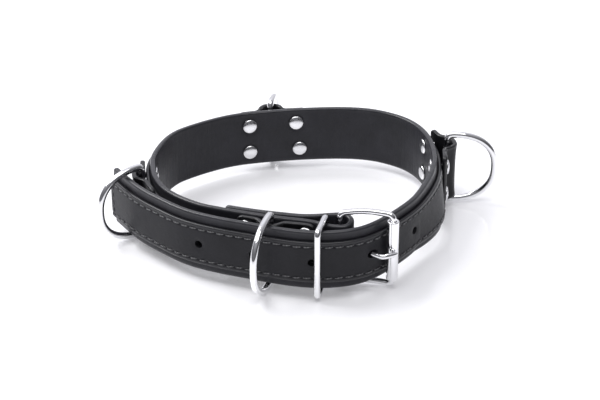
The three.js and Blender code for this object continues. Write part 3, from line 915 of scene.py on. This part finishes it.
def turned_rivet(name, profile, centre, along, out, node):
    """A rivet from (radius, height) points; height runs along out."""
    sides = 36
    turn = np.linspace(0, 2 * math.pi, sides, endpoint=False)
    up = np.array([0, 0, 1.0])
    rings = []
    for radius, height in profile:
        ring = centre + np.outer(np.cos(turn) * radius, along) + np.outer(np.sin(turn) * radius, up)
        rings.append(ring + out * height)
    faces = loop_faces(len(profile), sides)
    piece = new_piece(name, np.concatenate(rings), faces, RIVET_METAL, "strap", node, "chrome")
    face_out(piece.data)


def rivet_profile(low, high):
    """Two domed heads on a post, from the inner head's crown to the outer one's."""
    def head(sign, face):
        angles = np.radians([4, 15, 27, 39, 51, 62, 72, 81, 90])
        dome = [
            (RIVET_HEAD * math.sin(t), face + sign * RIVET_DOME * math.cos(t) ** 0.85)
            for t in angles
        ]
        rim = [(RIVET_HEAD * 0.975, face - sign * 0.25), (RIVET_HEAD * 0.9, face - sign * 0.38)]
        return dome + rim

    inner = head(-1, low) + [(RIVET_POST, low + 0.4)]
    outer = head(1, high) + [(RIVET_POST, high - 0.4)]
    return inner + outer[::-1]


def build_rivets(tab):
    for number, (u, z) in enumerate(tab.rivet_places(), 1):
        s = tab.s + u
        centre, along, out = route.at(s)
        depth = flap_depth(s)[0] + FLAP_SLACK if tab.side == "front" else 0.0
        low = -depth - BASE_HALF - RIVET_STAND
        high = tab.face + tab.hump(u) + TAB_THICKNESS + 0.1
        turned_rivet(
            f"{tab.side}_rivet_{number}", rivet_profile(low, high), np.array([*centre, MID_Z + z]),
            np.array([*along, 0]), np.array([*out, 0]), f"{tab.side}_tab_rivet_{number}",
        )


# ---- Hardware ----
def build_rings():
    for tab in TABS:
        outline = ring_outline(RING_HEIGHT[tab.side])
        path = upright(outline, tab.bar, SWING[tab.side], middle=MID_Z + RING_LIFT[tab.side])
        wire_piece(
            f"{tab.side}_d_ring", path, RING_WIRE / 2, f"{tab.side}_ring", f"d_ring_{tab.side}",
            sides=28,
        )


def build_frame(heel, end):
    """The buckle's bent wire, from its heel bar to the bar that the roller turns on."""
    reach = end - heel
    width = np.linalg.norm(reach)
    turn = math.degrees(math.atan2(reach[1], reach[0]))
    outline = rectangle_outline(width, FRAME_HEIGHT, FRAME_CORNER)
    bow = FRAME_BOW * np.sin(math.pi * np.clip(outline[:, 0] / width, 0, 1))
    path = upright(outline, heel, turn, bow, BUCKLE_Z)
    wire_piece("roller_buckle_frame", path, FRAME_WIRE / 2, "buckle", "buckle_frame")


def build_roller(end):
    """A tube with rounded ends, and the seam where its sheet meets."""
    half = ROLLER_LENGTH / 2
    r = ROLLER_EDGE
    outer = [
        (ROLLER_RADIUS - r + r * math.cos(t), half - r + r * math.sin(t))
        for t in (math.radians(a) for a in (90, 60, 30, 0))
    ]
    profile = [(ROLLER_BORE, -half + 0.3), (ROLLER_BORE + 0.3, -half)]
    profile += [(radius, -height) for radius, height in outer] + [(ROLLER_RADIUS, 0.0)]
    profile += outer[::-1] + [(ROLLER_BORE + 0.3, half), (ROLLER_BORE, half - 0.3)]
    sides, rows = 48, len(profile)
    angle = np.linspace(0, 2 * math.pi, sides, endpoint=False)
    seam = SEAM_DEPTH * np.exp(-((angle - SEAM_ANGLE) / 0.07) ** 2)
    points = []
    for radius, height in profile:
        r = radius - seam * (radius > ROLLER_BORE + 0.5)
        points.append(np.stack([
            end[0] + r * np.cos(angle), end[1] + r * np.sin(angle), np.full(sides, BUCKLE_Z + height),
        ], 1))
    faces = loop_faces(rows, sides, closed=True)
    roller = new_piece(
        "buckle_roller_tube", np.concatenate(points), faces, CHROME, "roller", "buckle_roller",
        "chrome", SHARP_ANGLE,
    )
    face_out(roller.data)


def build_prong(heel):
    """One wire: round the heel bar, then through the strap and onto the roller."""
    wrap = np.radians(np.linspace(-345, -90, 60))
    eye = np.stack([np.cos(wrap), np.sin(wrap)], 1) * PRONG_EYE + heel
    shank = catmull_rom([plan(p) for p in PRONG_ROUTE])
    line = smoothed(evenly(np.concatenate([eye, shank[10:]]), 0.3), 0.6, 0.3)
    path = np.concatenate([line, np.full((len(line), 1), BUCKLE_Z)], 1)
    left = np.linspace(len(path) * 0.3, 0, len(path))
    tip = np.clip(left / 4.5, 0, 1)
    radius = PRONG_WIRE / 2 * np.maximum(np.sqrt(1 - (1 - tip) ** 2.6), 0.12)
    radius[0] *= 0.6
    wire_piece("buckle_prong_wire", path, radius, "prong", "buckle_prong", False, 20)


def build_keeper():
    """The keeper loop, its front wire against the tail's outer face."""
    back = plan(KEEPER_BACK)
    s = route.nearest(plan((KEEPER_FRONT_X, -71)), route.tail_start)
    face = route.offset(s, BAND_FACE)
    front = np.array([KEEPER_FRONT_X - PLAN_CENTRE[0], face[1] - GAP - KEEPER_WIRE / 2])
    reach = front - back
    turn = math.degrees(math.atan2(reach[1], reach[0]))
    outline = rectangle_outline(np.linalg.norm(reach), KEEPER_HEIGHT, KEEPER_CORNER)
    path = upright(outline, back, turn)
    wire_piece("keeper_loop_wire", path, KEEPER_WIRE / 2, "keeper", "keeper_loop")


# ---- The studio ----
def add_area(name, place_m, size, watts):
    """A rectangular lamp that faces the collar."""
    light = bpy.data.lights.new(name, "AREA")
    light.shape = "RECTANGLE"
    light.size, light.size_y = size
    light.energy = watts
    lamp = bpy.data.objects.new(name, light)
    lamp.location = place_m
    lamp.rotation_euler = (-Vector(place_m)).to_track_quat("-Z", "Y").to_euler()
    bpy.context.scene.collection.objects.link(lamp)


def build_floor():
    n = Nodes("studio_floor")
    n.shader.inputs["Specular IOR Level"].default_value = 0.6
    # Painted light: the floor glows, twice as much away from the collar as beside it, which lifts the
    # shadows.
    n.shader.inputs["Emission Color"].default_value = (1.0, 0.995, 1.02, 1)
    away = n.node("ShaderNodeVectorMath", {0: n.position()}, operation="LENGTH").outputs["Value"]
    painted_floor_light = n.ramp(away, 0.11, 0.2, FLOOR_PAINTED_LIGHT, 2 * FLOOR_PAINTED_LIGHT)
    n.finish(Base_Color=(0.86, 0.86, 0.88, 1), Roughness=0.16, Emission_Strength=painted_floor_light)
    size = 3.0
    mesh = bpy.data.meshes.new("floor")
    corners = [(-size, -size, 0), (size, -size, 0), (size, size, 0), (-size, size, 0)]
    mesh.from_pydata(corners, [], [(0, 1, 2, 3)])
    mesh.materials.append(n.mat)
    floor = bpy.data.objects.new("floor", mesh)
    bpy.context.scene.collection.objects.link(floor)


def build_world():
    """A bright backdrop behind the collar, fading to a dim room behind the camera."""
    world = bpy.data.worlds.new("studio")
    world.use_nodes = True
    tree = world.node_tree
    direction = tree.nodes.new("ShaderNodeTexCoord").outputs["Generated"]
    parts = tree.nodes.new("ShaderNodeSeparateXYZ")
    tree.links.new(direction, parts.inputs[0])

    def spread(axis, low, high, dim, bright):
        made = tree.nodes.new("ShaderNodeMapRange")
        made.interpolation_type = "SMOOTHSTEP"
        tree.links.new(parts.outputs[axis], made.inputs["Value"])
        for key, value in (("From Min", low), ("From Max", high), ("To Min", dim), ("To Max", bright)):
            made.inputs[key].default_value = value
        return made.outputs[0]

    total = tree.nodes.new("ShaderNodeMath")
    total.operation = "ADD"
    back = tree.nodes.new("ShaderNodeMath")
    back.operation = "MULTIPLY"
    tree.links.new(spread("Y", -0.1, 0.7, 0.16, WORLD_BACK), back.inputs[0])
    tree.links.new(spread("X", 0.2, 0.8, 1.0, WORLD_RIGHT), back.inputs[1])
    tree.links.new(back.outputs[0], total.inputs[0])
    tree.links.new(spread("Z", 0.3, 0.95, 0.0, WORLD_TOP), total.inputs[1])
    background = tree.nodes["Background"]
    background.inputs["Color"].default_value = (0.94, 0.94, 1.0, 1)
    tree.links.new(total.outputs[0], background.inputs["Strength"])
    bpy.context.scene.world = world


def build_studio():
    build_floor()
    build_world()
    add_area("key", (-0.72, 0.3, 0.95), (0.7, 0.7), 11.0)
    add_area("top", (0.0, -0.35, 1.25), (1.0, 0.7), 7.5)
    view = bpy.context.scene.view_settings
    view.view_transform = "Standard"
    view.look = "None"


def add_camera():
    """28 degrees down, square on to the collar's front, from 0.9 m."""
    target = np.array([-PLAN_CENTRE[0], -PLAN_CENTRE[1], MID_Z]) * MM
    elevation, distance = math.radians(28), 0.9
    data = bpy.data.cameras.new("camera")
    data.sensor_width = 36.0
    data.lens = 104.76
    data.shift_y = -10 / 600
    camera = bpy.data.objects.new("camera", data)
    camera.location = target + distance * np.array([0, -math.cos(elevation), math.sin(elevation)])
    camera.rotation_euler = (math.pi / 2 - elevation, 0, 0)
    bpy.context.scene.collection.objects.link(camera)
    bpy.context.scene.camera = camera


add_camera()
build_studio()
build_base()
build_overlay()
build_stitching()
for tab in TABS:
    build_tab(tab)
    build_rivets(tab)
build_rings()
build_frame(HEEL, ROLLER_BAR)
build_roller(ROLLER_BAR)
build_prong(HEEL)
build_keeper()
